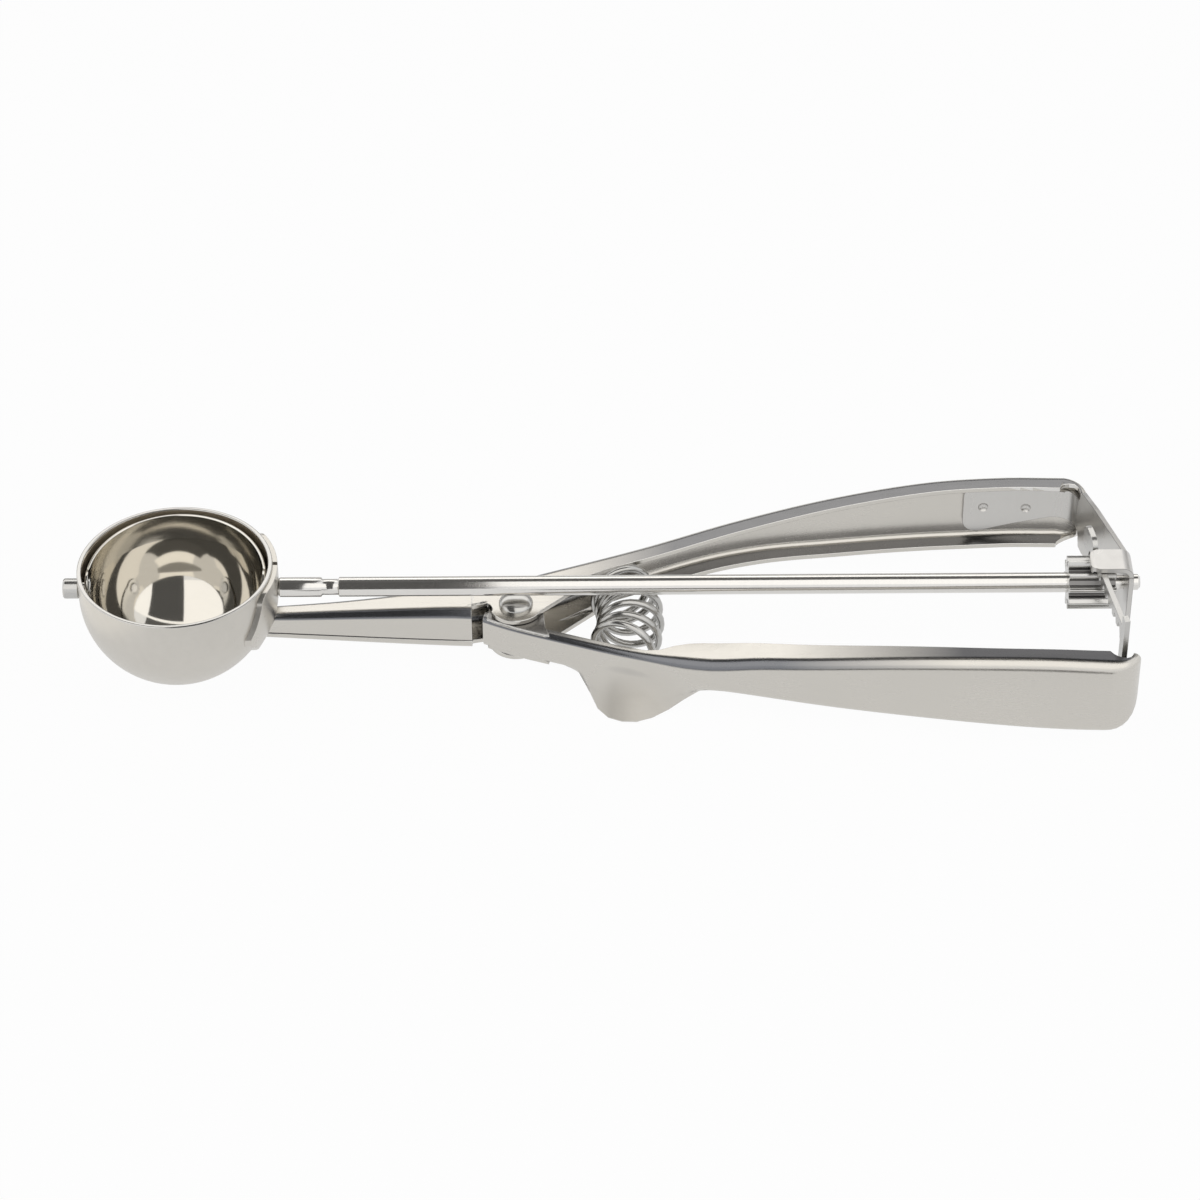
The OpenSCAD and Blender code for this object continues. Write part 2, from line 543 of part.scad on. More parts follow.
module rack_root_plan() {
    h0 = rack_lean - 90;
    e = [rack_x + rack_bend_u * cos(h0), rack_bend_u * sin(h0)];
    c = [e[0] - rack_bend_r * cos(rack_lean), e[1] - rack_bend_r * sin(rack_lean)];
    mid = concat(
        [[e[0] - 0.6 * cos(h0), e[1] - 0.6 * sin(h0), h0]],
        [for (i = [0:8]) let (a = mix(rack_lean, -90, i / 8))
            [c[0] + rack_bend_r * cos(a), c[1] + rack_bend_r * sin(a), a - 90]],
        [for (x = [c[0] - 1.5:-1.7:rack_flange_x])
            let (h = heading(lever_y(x - 0.5), lever_y(x + 0.5), 1), d = sheet_t + rack_t / 2 + weld_gap)
            [x - d * sin(h), lever_y(x) + d * cos(h), h + 180]]);
    polygon(strip(mid, rack_t));
}

// ---- spring ----
coil_mid_r = 20.7;
coil_z = ear_top - ear_h / 2 + 0.3;
coil_a0 = -23.5;
coil_a1 = 24.5;
coil_sides = 8;
coil_steps = 18;
module return_spring() {
    n = coil_turns * coil_steps;
    rc = (coil_d - wire_d) / 2;
    dead = 0.75 / coil_turns;
    travel = [[0, 0], [dead, 0.07], [1 - dead, 0.93], [1, 1]];
    function wire_at(i) =
        let (s = i / n, a = mix(coil_a0, coil_a1, smooth(travel, s)), c = 360 * coil_turns * s - 90,
             rr = coil_mid_r + rc * cos(c))
        [pivot_x + rr * cos(a), rr * sin(a), coil_z + rc * sin(c)];
    rings = [for (i = [0:n])
        let (p = wire_at(i), q0 = wire_at(max(i - 1, 0)), q1 = wire_at(min(i + 1, n)),
             t = (q1 - q0) / norm(q1 - q0), b0 = cross(t, [p[0] - pivot_x, p[1], 0]), b = b0 / norm(b0),
             g = cross(b, t))
        [for (k = [0:coil_sides - 1]) let (w = 360 * k / coil_sides)
            p + wire_d / 2 * (cos(w) * g + sin(w) * b)]];
    m = coil_sides;
    faces = concat(
        [for (i = [0:n - 1], j = [0:m - 1])
            let (a = i * m + j, b = i * m + (j + 1) % m) each [[a, b, b + m], [a, b + m, a + m]]],
        [[for (j = [m - 1:-1:0]) j], [for (j = [0:m - 1]) n * m + j]]);
    color("darkgray") polyhedron(points = flat(rings), faces = [for (f = faces) reversed(f)]);
}

// ---- drive rod, pinion, scraper ----
module drive_rod() {
    shoulder = bowl_r + saddle_t + run_gap;
    c = 0.25;
    back = pinion_x + pinion_w;
    tip = x_max;
    color("gainsboro") rotate([0, 90, 0]) rotate_extrude()
        polygon([[0, blade_in - inner_head_h - 0.15], [inner_head_r - 0.3, blade_in - inner_head_h - 0.15],
                 [inner_head_r, blade_in - inner_head_h + 0.1], [inner_head_r, blade_in - 0.14],
                 [journal_r, blade_in - 0.14], [journal_r, shoulder], [rod_r - c, shoulder], [rod_r, shoulder + c],
                 [rod_r, neck_x - c], [neck_r, neck_x], [neck_r, neck_x + neck_len],
                 [rod_r, neck_x + neck_len + c], [rod_r, back], [journal_r, back],
                 [journal_r, bracket_out + 0.25], [journal_r + 0.25, bracket_out + 0.25],
                 [journal_r + 0.25, tip - 0.4], [journal_r - 0.2, tip], [0, tip]]);
}

module pinion() {
    function tooth_side(k, s) = [for (r = s > 0 ? [tip_r, mix(base_r, tip_r, 0.66), mix(base_r, tip_r, 0.33), base_r, root_r]
                                               : [root_r, base_r, mix(base_r, tip_r, 0.33), mix(base_r, tip_r, 0.66), tip_r])
        let (a = k * 360 / pinion_teeth + s * tooth_half(r)) r * [cos(a), sin(a)]];
    color("lightgray") translate([pinion_x, 0, 0]) rotate([90, 0, 90]) linear_extrude(height = pinion_w)
        difference() {
            rotate([0, 0, 90]) polygon([for (k = [0:pinion_teeth - 1]) each concat(tooth_side(k, -1), tooth_side(k, 1))]);
            circle(r = rod_r);
        }
}

module scraper_blade() {
    color("gainsboro") rotate([blade_rest, 0, 0]) difference() {
        intersection() {
            sphere(r = blade_out, $fn = 96);
            union() {
                translate([-bowl_r, 0, -blade_w / 2]) cube([2 * bowl_r, bowl_r, blade_w]);
                along_x(-bowl_r, bowl_r, ear_r);
            }
        }
        sphere(r = blade_in, $fn = 96);
        along_x(-bowl_r, bowl_r, journal_r);
    }
}

module front_stud() {
    start = bowl_r + run_gap;
    color("gainsboro") rotate([0, -90, 0]) rotate_extrude()
        polygon([[0, blade_in - inner_head_h - 0.15], [inner_head_r - 0.3, blade_in - inner_head_h - 0.15],
                 [inner_head_r, blade_in - inner_head_h + 0.1], [inner_head_r, blade_in - 0.14],
                 [journal_r, blade_in - 0.14], [journal_r, start], [stud_r, start], [stud_r, start + stud_out - 0.25],
                 [stud_r - 0.25, start + stud_out], [0, start + stud_out]]);
}

translate(to_origin) bowl();
translate(to_origin) bowl_saddle();
translate(to_origin) main_frame();
translate(to_origin) rear_bracket();
translate(to_origin) pivot_rivet();
translate(to_origin) lever_handle();
translate(to_origin) gear_rack();
translate(to_origin) return_spring();
translate(to_origin) drive_rod();
translate(to_origin) pinion();
translate(to_origin) scraper_blade();
translate(to_origin) front_stud();
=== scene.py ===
"""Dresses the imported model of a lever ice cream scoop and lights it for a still."""

from __future__ import annotations

import logging
import math
from dataclasses import dataclass, field
from enum import Enum
from typing import Any, Sequence

import bmesh
import bpy
from mathutils import Matrix, Vector

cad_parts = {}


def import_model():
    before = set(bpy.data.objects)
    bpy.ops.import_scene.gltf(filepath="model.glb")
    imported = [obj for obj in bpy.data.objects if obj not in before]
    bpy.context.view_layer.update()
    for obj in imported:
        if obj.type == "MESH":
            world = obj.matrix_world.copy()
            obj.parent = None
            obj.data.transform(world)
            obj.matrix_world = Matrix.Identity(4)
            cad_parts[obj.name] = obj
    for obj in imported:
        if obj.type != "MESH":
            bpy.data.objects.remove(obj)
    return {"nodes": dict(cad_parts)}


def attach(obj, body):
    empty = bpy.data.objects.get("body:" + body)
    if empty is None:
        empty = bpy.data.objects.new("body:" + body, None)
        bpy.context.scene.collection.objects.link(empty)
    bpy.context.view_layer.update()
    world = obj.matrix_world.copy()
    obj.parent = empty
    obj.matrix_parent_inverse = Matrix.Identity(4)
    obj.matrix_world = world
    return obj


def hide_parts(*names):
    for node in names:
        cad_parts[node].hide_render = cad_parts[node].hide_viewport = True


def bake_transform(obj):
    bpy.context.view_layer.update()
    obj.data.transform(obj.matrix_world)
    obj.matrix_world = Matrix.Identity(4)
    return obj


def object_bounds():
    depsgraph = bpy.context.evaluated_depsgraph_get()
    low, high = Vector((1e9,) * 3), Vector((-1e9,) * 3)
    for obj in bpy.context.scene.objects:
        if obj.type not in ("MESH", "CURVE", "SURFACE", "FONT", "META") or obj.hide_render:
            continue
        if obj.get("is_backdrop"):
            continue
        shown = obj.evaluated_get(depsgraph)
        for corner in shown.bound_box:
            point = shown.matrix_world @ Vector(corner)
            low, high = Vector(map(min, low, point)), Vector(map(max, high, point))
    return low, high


LOG = logging.getLogger("scoop")
MM = 0.001
# design axes start at the centre of the bowl's sphere; the frame starts under the object
SHIFT = Vector((-76.475, -2.91027, 17.5))
FULL_TURN = 2 * math.pi
WHITE = (1, 1, 1, 1)
# the cards' glow is slightly warm, as the steel is
WARM = (1, 0.985, 0.96)

Colour = tuple[float, float, float]
Point = tuple[float, float]
Span = tuple[float, float]


class Body(Enum):
    """The moving bodies of the scoop."""

    FRAME = "frame"
    LEVER = "lever"
    SCRAPER = "scraper"


class Slot(Enum):
    """The record's material slots."""

    BOWL = "bowl_steel"
    FRAME = "frame_steel"
    BRACKET = "bracket_steel"
    POLISHED = "polished_steel"
    SPRING = "spring_steel"
    BLADE = "blade_steel"


def place(x: float, y: float, z: float) -> Vector:
    """Turns a point in design millimetres into the frame's metres.

    Args:
        x: Along the rod, towards the handles.
        y: Across, towards the fixed handle.
        z: Upwards.

    Returns:
        The point in the frame.
    """
    return (Vector((x, y, z)) + SHIFT) * MM


# ---------------------------------------------------------------- shader maths


class Sock:
    """One output of a node, with the arithmetic that adds Math nodes."""

    def __init__(self, tree: "Tree", out: bpy.types.NodeSocket) -> None:
        """Keeps the tree and the socket."""
        self.tree = tree
        self.out = out

    def _maths(self, operation: str, *values: Any) -> "Sock":
        """Adds one Math node.

        Args:
            operation: The Math node's operation.
            values: The numbers or sockets that go in.

        Returns:
            The node's result.
        """
        return self.tree.add("ShaderNodeMath", {"operation": operation}, dict(enumerate(values)))

    def __add__(self, other: Any) -> "Sock":
        """self + other."""
        return self._maths("ADD", self, other)

    def __radd__(self, other: Any) -> "Sock":
        """other + self."""
        return self._maths("ADD", other, self)

    def __sub__(self, other: Any) -> "Sock":
        """self - other."""
        return self._maths("SUBTRACT", self, other)

    def __rsub__(self, other: Any) -> "Sock":
        """other - self."""
        return self._maths("SUBTRACT", other, self)

    def __mul__(self, other: Any) -> "Sock":
        """self * other."""
        return self._maths("MULTIPLY", self, other)

    def __truediv__(self, other: Any) -> "Sock":
        """self / other."""
        return self._maths("DIVIDE", self, other)

    def clipped(self) -> "Sock":
        """Cuts off what lies outside 0 and 1.

        Returns:
            self held between 0 and 1.
        """
        return self.tree.add("ShaderNodeClamp", {}, {"Value": self})

    def ramp(self, start: float, end: float) -> "Sock":
        """Makes a share that climbs from 0 to 1.

        Args:
            start: The value of self where the share is 0.
            end: The value of self where it is 1.

        Returns:
            The share, held between 0 and 1.
        """
        return ((self - start) / (end - start)).clipped()


class Tree:
    """The nodes of a material or a world, made with one method."""

    def __init__(self, owner: bpy.types.Material | bpy.types.World) -> None:
        """Clears the nodes.

        Args:
            owner: The material or the world.
        """
        owner.use_nodes = True
        self.owner = owner
        self.nodes = owner.node_tree.nodes
        self.links = owner.node_tree.links
        self.nodes.clear()

    def add(self, kind: str, settings: dict[str, Any], inputs: dict[Any, Any],
            out: Any = 0) -> Sock:
        """Adds a node.

        Args:
            kind: The node's type.
            settings: What is set on the node first.
            inputs: Values or links by the name or number of the input.
            out: The name or number of the output that comes back.

        Returns:
            The chosen output.
        """
        node = self.nodes.new(kind)
        for key, value in settings.items():
            setattr(node, key, value)
        for key, value in inputs.items():
            if isinstance(value, Sock):
                self.links.new(value.out, node.inputs[key])
            else:
                node.inputs[key].default_value = value
        return Sock(self, node.outputs[out])

    def here(self) -> Sock:
        """Reads where a point lies.

        Returns:
            The piece's own coordinates in metres.
        """
        return self.add("ShaderNodeTexCoord", {}, {}, "Object")

    def axis(self, vector: Sock, name: str) -> Sock:
        """Takes one part of a vector.

        Args:
            vector: The vector.
            name: X, Y or Z.

        Returns:
            That part.
        """
        return self.add("ShaderNodeSeparateXYZ", {}, {0: vector}, name)

    def noise(self, scale: Sequence[float], detail: float, rough: float) -> Sock:
        """Makes a noise on stretched coordinates.

        Args:
            scale: Repeats per metre along each axis.
            detail: How many finer layers it has.
            rough: How strong the finer layers are.

        Returns:
            The noise, between 0 and 1.
        """
        stretched = self.add("ShaderNodeMapping", {}, {"Vector": self.here(), "Scale": scale})
        return self.add("ShaderNodeTexNoise", {}, {
            "Vector": stretched, "Scale": 1.0, "Detail": detail, "Roughness": rough})

    def blend(self, share: Sock, low: Sock | Colour, high: Sock | Colour) -> Sock:
        """Mixes two colours.

        Args:
            share: The share of the second.
            low: The first colour.
            high: The second colour.

        Returns:
            The mixed colour.
        """
        # a Mix node has inputs for every kind of data, and its colours are numbers 6 and 7
        low, high = (c if isinstance(c, Sock) else (*c, 1) for c in (low, high))
        return self.add("ShaderNodeMix", {"data_type": "RGBA"}, {0: share, 6: low, 7: high}, 2)

    def end(self, kind: str, surface: Sock) -> None:
        """Ends the nodes in one output.

        Args:
            kind: The output node's type.
            surface: The shader that it shows.
        """
        self.links.new(surface.out, self.nodes.new(kind).inputs["Surface"])


@dataclass(frozen=True)
class Steel:
    """Stainless steel with a grain, smudges and a little relief.

    The grain's scale gives its repeats per metre along each axis, so a small number along an
    axis makes the marks run that way. Rolled edges and level flanges can have a painted tone of
    their own, a painted dark reflection of the studio that the upward part of the normal picks
    out.
    """

    name: str
    tint: Colour
    deep: Colour
    rough: float
    grain: tuple[float, float, float]
    grain_rough: float
    smudge_rough: float
    relief: float
    relief_depth: float = 0.00002
    metal: float = 1.0
    # repeats per metre of the smudges and of the finest pits
    smudge: float = 90
    pits: float = 1400
    # how much of the tone and of the height the grain decides
    grain_tone: float = 0.55
    grain_height: float = 0.8
    # a bead-blasted spot: its middle, the radius of its full part and the width over which it
    # fades, all in metres, and the roughness that it adds
    matte: Vector | None = None
    matte_full: float = 0.0045
    matte_fade: float = 0.0075
    matte_rough: float = 0.45
    # the painted reflection tone of the rolled edges, a painted dark band in the base colour,
    # the upward parts of the normal over which it sets in from the side and from the top, and
    # the heights over which it does on a blasted sheet, in design millimetres
    roll: Colour | None = None
    painted_shade_side: Span = (0.14, 0.14 + 1 / 6)
    painted_shade_top: Span = (0.985, 0.985 - 1 / 22)
    painted_shade_height: Span = (-10, -8)
    # the painted reflection tone of the level flange, the upward parts over which it sets in,
    # and where along x it does towards the rear and towards the nose, in design millimetres
    flat: Colour | None = None
    painted_flat_top: Span = (0.93, 0.93 + 1 / 22)
    rear: Span = (0, 0)
    nose: Span | None = None
    painted_nose_share: float = 0.75

    def material(self) -> bpy.types.Material:
        """Builds the material.

        Returns:
            The steel as a node material.
        """
        tree = Tree(bpy.data.materials.new(self.name))
        fine = tree.noise(self.grain, detail=3, rough=0.6)
        cloud = tree.noise((self.smudge,) * 3, detail=3, rough=0.5)
        dust = tree.noise((self.pits,) * 3, detail=2, rough=0.5)
        share = (fine * self.grain_tone + cloud * (1 - self.grain_tone)).clipped()
        colour = tree.blend(share, self.deep, self.tint)
        rough = (self.rough + (fine - 0.5) * (2 * self.grain_rough)
                 + (cloud - 0.5) * (2 * self.smudge_rough)).clipped()
        if self.matte is not None:
            rough = rough + self.blasted(tree) * self.matte_rough
        # painted reflections: the rolled edges and the level flange get tones of light and shade
        # in their colour
        if self.roll is not None:
            colour = self.rolled(tree, colour)
        height = fine * self.grain_height + dust * (1 - self.grain_height)
        normal = tree.add("ShaderNodeBump", {}, {
            "Strength": self.relief, "Distance": self.relief_depth, "Height": height}, "Normal")
        shader = tree.add("ShaderNodeBsdfPrincipled", {}, {
            "Base Color": colour, "Metallic": self.metal, "Roughness": rough, "Normal": normal})
        tree.end("ShaderNodeOutputMaterial", shader)
        return tree.owner

    def blasted(self, tree: Tree) -> Sock:
        """Picks out the bead-blasted spot, as on the finger lobe.

        Args:
            tree: The material's nodes.

        Returns:
            The share, 1 in the middle and 0 outside.
        """
        away = tree.add("ShaderNodeVectorMath", {"operation": "DISTANCE"},
                        {0: tree.here(), 1: self.matte}, "Value")
        return away.ramp(self.matte_full + self.matte_fade, self.matte_full)

    def rolled(self, tree: Tree, colour: Sock) -> Sock:
        """Paints tones of reflected light and shade onto the rolled edges and the level flange.

        Args:
            tree: The material's nodes.
            colour: The colour of the rest.

        Returns:
            The colour with these painted reflection tones in it.
        """
        # painted shade: the rolled edges are painted darker than the ground flats, standing in
        # for the dark studio that they reflect
        up = tree.axis(tree.add("ShaderNodeNewGeometry", {}, {}, "Normal"), "Z")
        painted_band = up.ramp(*self.painted_shade_side) * up.ramp(*self.painted_shade_top)
        if self.matte is not None:
            # the lobe lies lower, and the painted dark band is kept off its own bends, so they
            # stay light
            heights = (place(0, 0, z).z for z in self.painted_shade_height)
            painted_band = painted_band * tree.axis(tree.here(), "Z").ramp(*heights)
        if self.flat is not None:
            # towards the rear, and at the nose, the painted dark reflection moves onto the level
            # flange
            along = tree.axis(tree.here(), "X")
            level = along.ramp(*(place(x, 0, 0).x for x in self.rear))
            painted_band = painted_band * (1.0 - level)
            if self.nose is not None:
                level = level + (along.ramp(*(place(x, 0, 0).x for x in self.nose))
                                 * self.painted_nose_share)
            colour = tree.blend(level * up.ramp(*self.painted_flat_top), colour, self.flat)
        return tree.blend(painted_band, colour, self.roll)


class Steels:
    """Every finish on the scoop, made once."""

    def __init__(self) -> None:
        """Makes the finishes."""
        # the third colour is painted shade for the rolled edges, standing in for a dark
        # reflection
        satin, dim, painted_roll_shade = (0.68, 0.655, 0.61), (0.6, 0.58, 0.54), (0.2, 0.205, 0.22)
        self.outside = Steel(
            "bowl_outside", satin, (0.58, 0.558, 0.515), rough=0.3, grain=(500, 500, 500),
            grain_rough=0.05, smudge_rough=0.04, relief=0.05).material()
        self.inside = Steel(
            "bowl_inside", (0.74, 0.71, 0.65), (0.68, 0.65, 0.59), rough=0.07,
            grain=(300, 300, 2200), grain_rough=0.03, smudge_rough=0.02, relief=0.02).material()
        self.rim = Steel(
            "bowl_rim", (0.62, 0.61, 0.59), (0.54, 0.53, 0.51), rough=0.2,
            grain=(900, 900, 900), grain_rough=0.03, smudge_rough=0.02, relief=0.02).material()
        # the handle's flat colour is a painted dark reflection on its level flange towards the
        # rear
        self.handle = Steel(
            "handle_satin", satin, dim, rough=0.25, grain=(35, 900, 2600),
            grain_rough=0.08, smudge_rough=0.04, relief=0.06, roll=painted_roll_shade,
            flat=(0.21, 0.21, 0.215), rear=(66, 90)).material()
        # the lever's flat colour is a painted dark reflection on its level flange at the rear
        # and at the nose
        self.lever = Steel(
            "lever_satin", satin, dim, rough=0.25, grain=(35, 900, 2600),
            grain_rough=0.08, smudge_rough=0.04, relief=0.06, roll=painted_roll_shade,
            flat=(0.1, 0.1, 0.105), rear=(108, 140), nose=(86, 70),
            matte=place(82.5, -17, -17)).material()
        # painted highlight: a brighter tint for the bevelled cut edges of the handles
        self.edge = Steel(
            "handle_edge_painted_highlight", (0.8, 0.79, 0.77), (0.7, 0.69, 0.67), rough=0.22,
            grain=(60, 1500, 1500), grain_rough=0.04, smudge_rough=0.04, relief=0.03).material()
        # painted shade: a dark tint for the bracket's bevelled edges and the gaps between the
        # pinion's teeth
        self.seam = Steel(
            "bracket_edge_painted_shade", (0.3, 0.295, 0.29), (0.22, 0.215, 0.21), rough=0.35,
            grain=(700, 700, 700), grain_rough=0.04, smudge_rough=0.04, relief=0.03).material()
        # the bracket's roll and flat colours are faint painted reflection tones
        self.bracket = Steel(
            "bracket_satin", (0.66, 0.65, 0.63), (0.58, 0.57, 0.55), rough=0.3,
            grain=(700, 700, 90), grain_rough=0.07, smudge_rough=0.06, relief=0.06,
            roll=(0.6, 0.59, 0.575), flat=(0.62, 0.61, 0.595), rear=(100, 101)).material()
        self.rack = Steel(
            "rack_satin", (0.62, 0.615, 0.6), (0.5, 0.495, 0.48), rough=0.3,
            grain=(900, 90, 900), grain_rough=0.08, smudge_rough=0.06, relief=0.08).material()
        self.rod = Steel(
            "rod_polished", (0.8, 0.785, 0.76), (0.72, 0.705, 0.68), rough=0.15,
            grain=(2600, 120, 120), grain_rough=0.04, smudge_rough=0.02, relief=0.02).material()
        self.gear = Steel(
            "pinion_cut", (0.66, 0.655, 0.64), (0.54, 0.535, 0.52), rough=0.22,
            grain=(60, 1400, 1400), grain_rough=0.07, smudge_rough=0.05, relief=0.05).material()
        self.head = Steel(
            "rivet_head", (0.6, 0.595, 0.58), (0.47, 0.465, 0.45), rough=0.2,
            grain=(900, 900, 900), grain_rough=0.05, smudge_rough=0.08, relief=0.05).material()
        self.wire = Steel(
            "spring_wire", (0.6, 0.595, 0.58), (0.42, 0.415, 0.4), rough=0.19,
            grain=(500, 500, 500), grain_rough=0.05, smudge_rough=0.05, relief=0.03).material()
        self.drab = Steel(
            "blade_back", (0.6, 0.54, 0.46), (0.5, 0.45, 0.38), rough=0.5,
            grain=(500, 500, 500), grain_rough=0.05, smudge_rough=0.04, relief=0.04,
            metal=0.6).material()
        self.blade = Steel(
            "blade_polished", (0.72, 0.7, 0.65), (0.62, 0.6, 0.56), rough=0.14,
            grain=(500, 500, 2200), grain_rough=0.05, smudge_rough=0.04, relief=0.04).material()


# ---------------------------------------------------------------- shapes


def to_mesh(name: str, shape: bmesh.types.BMesh, sharp: float = 30) -> bpy.types.Object:
    """Turns a bmesh in frame metres into an object at the origin.

    Args:
        name: The piece's name.
        shape: The shape, which is freed.
        sharp: Edges that turn more than this many degrees stay sharp.

    Returns:
        The new object.
    """
    mesh = bpy.data.meshes.new(name)
    shape.to_mesh(mesh)
    shape.free()
    mesh.shade_smooth()
    mesh.set_sharp_from_angle(angle=math.radians(sharp))
    piece = bpy.data.objects.new(name, mesh)
    bpy.context.scene.collection.objects.link(piece)
    return piece


def lathe(profile: Sequence[Point], steps: int) -> bmesh.types.BMesh:
    """Spins a profile about Z.

    Args:
        profile: Points (radius, height) in millimetres, from pole to pole.
        steps: Steps of the full turn.

    Returns:
        The closed shape with its faces outwards.
    """
    shape = bmesh.new()
    points = [shape.verts.new((r, 0, z)) for r, z in profile]
    edges = [shape.edges.new(pair) for pair in zip(points, points[1:])]
    bmesh.ops.spin(shape, geom=points + edges, cent=(0, 0, 0), axis=(0, 0, 1), angle=FULL_TURN,
                   steps=steps, use_merge=True, use_duplicate=False)
    bmesh.ops.remove_doubles(shape, verts=shape.verts, dist=1e-5)
    bmesh.ops.recalc_face_normals(shape, faces=shape.faces)
    return shape


def settle(shape: bmesh.types.BMesh) -> bmesh.types.BMesh:
    """Takes a shape from design millimetres to the frame's metres.

    Args:
        shape: The shape in design millimetres.

    Returns:
        The same shape.
    """
    bmesh.ops.translate(shape, vec=SHIFT, verts=shape.verts)
    bmesh.ops.scale(shape, vec=(MM, MM, MM), verts=shape.verts)
    return shape


def merged_copy(node: bpy.types.Object, flat: bool = True,
                join: float = 1e-6) -> bmesh.types.BMesh:
    """Copies a CAD node's mesh as one joined shape.

    Args:
        node: The CAD node.
        flat: True to join its level triangles into whole faces.
        join: Corners closer than this many metres become one.

    Returns:
        The joined shape, with its normals ready to read.
    """
    shape = bmesh.new()
    shape.from_mesh(node.data)
    bmesh.ops.remove_doubles(shape, verts=shape.verts, dist=join)
    if flat:
        bmesh.ops.dissolve_limit(shape, angle_limit=math.radians(1.0), verts=shape.verts,
                                 edges=shape.edges)
    shape.normal_update()
    return shape


def soften(piece: bpy.types.Object, width: float, segments: int = 1, angle: float = 50,
           finish: int = -1) -> None:
    """Breaks a piece's sharp edges.

    Args:
        piece: The piece.
        width: The bevel's width in millimetres.
        segments: Faces across the bevel.
        angle: Edges that turn more than this many degrees are bevelled.
        finish: The material slot of the bevel's own faces, or -1 for their neighbours'.
    """
    bevel = piece.modifiers.new("edges", "BEVEL")
    bevel.width = width * MM
    bevel.segments = segments
    bevel.limit_method = "ANGLE"
    bevel.angle_limit = math.radians(angle)
    bevel.material = finish
    # clamping would shrink every edge to suit the smallest facet
    bevel.use_clamp_overlap = False
    # whole faces keep their own normals, and the broken edges take up the turn
    shading = piece.modifiers.new("shading", "WEIGHTED_NORMAL")
    shading.keep_sharp = True
    shading.weight = 100


def dress(piece: bpy.types.Object, body: Body | None, slot: Slot, node: str,
          *finishes: bpy.types.Material) -> None:
    """Gives a piece its materials and its body, and hides the node that it stands for.

    Args:
        piece: The piece.
        body: The body that it moves with, or None to leave it unattached.
        slot: The record's material slot; not used.
        node: The CAD node that it replaces.
        finishes: Its materials, in slot order.
    """
    for finish in finishes:
        piece.data.materials.append(finish)
    if body is not None:
        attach(piece, body.value)
    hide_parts(node)
    LOG.info("%s made for %s: %d faces", piece.name, node, len(piece.data.polygons))


def arc(centre: Point, radius: float, start: float, end: float, steps: int) -> list[Point]:
    """Lists points on an arc.

    Args:
        centre: The arc's centre.
        radius: The arc's radius.
        start: Where it starts, in degrees.
        end: Where it ends, in degrees.
        steps: The number of steps between them.

    Returns:
        The points, both ends included.
    """
    angles = (math.radians(start + (end - start) * i / steps) for i in range(steps + 1))
    return [(centre[0] + radius * math.cos(a), centre[1] + radius * math.sin(a)) for a in angles]


# ---------------------------------------------------------------- sub-assemblies


@dataclass
class BowlUnit:
    """The drawn bowl and the saddle sheet that carries it. Lengths are in millimetres."""

    steels: Steels
    nodes: dict[str, bpy.types.Object]
    outer: float = 17.5
    wall: float = 0.8
    lip: float = 5.0
    rounding: float = 0.22
    # what lies higher than this many roundings below the lip belongs to the rim
    rim_depth: float = 1.2
    steps: int = 160
    wall_steps: int = 44
    rim_steps: int = 4
    # the walls' arcs stop just short of the pole, in degrees
    low: float = -88

    def build(self) -> None:
        """Makes the bowl and dresses the saddle."""
        self.bowl()
        self.saddle()

    def bowl(self) -> None:
        """Spins the bowl with a rounded rim, satin outside and mirror inside."""
        inner, edge = self.outer - self.wall, self.rounding
        profile = ([(0.0, -self.outer)]
                   + arc((0, 0), self.outer, self.low, 0, self.wall_steps)
                   + arc((self.outer - edge, self.lip - edge), edge, 0, 90, self.rim_steps)
                   + arc((inner + edge, self.lip - edge), edge, 90, 180, self.rim_steps)
                   + arc((0, 0), inner, 0, self.low, self.wall_steps)
                   + [(0.0, -inner)])
        shape = lathe(profile, self.steps)
        for face in shape.faces:
            middle = face.calc_center_median()
            inward = face.normal.to_2d().dot(middle.to_2d()) < 0
            hollow = middle.length < self.outer - self.wall / 2 and middle.z < 0
            if middle.z > self.lip - edge * self.rim_depth:
                face.material_index = 2
            elif inward or hollow:
                face.material_index = 1
        piece = to_mesh("bowl_shell", settle(shape), sharp=50)
        dress(piece, Body.FRAME, Slot.BOWL, "bowl", self.steels.outside, self.steels.inside,
              self.steels.rim)

    def saddle(self) -> None:
        """Breaks the saddle's cut edges."""
        piece = to_mesh("saddle_sheet", merged_copy(self.nodes["bowl_saddle"]))
        dress(piece, Body.FRAME, Slot.FRAME, "bowl_saddle", self.steels.outside)
        soften(piece, 0.06, segments=2)


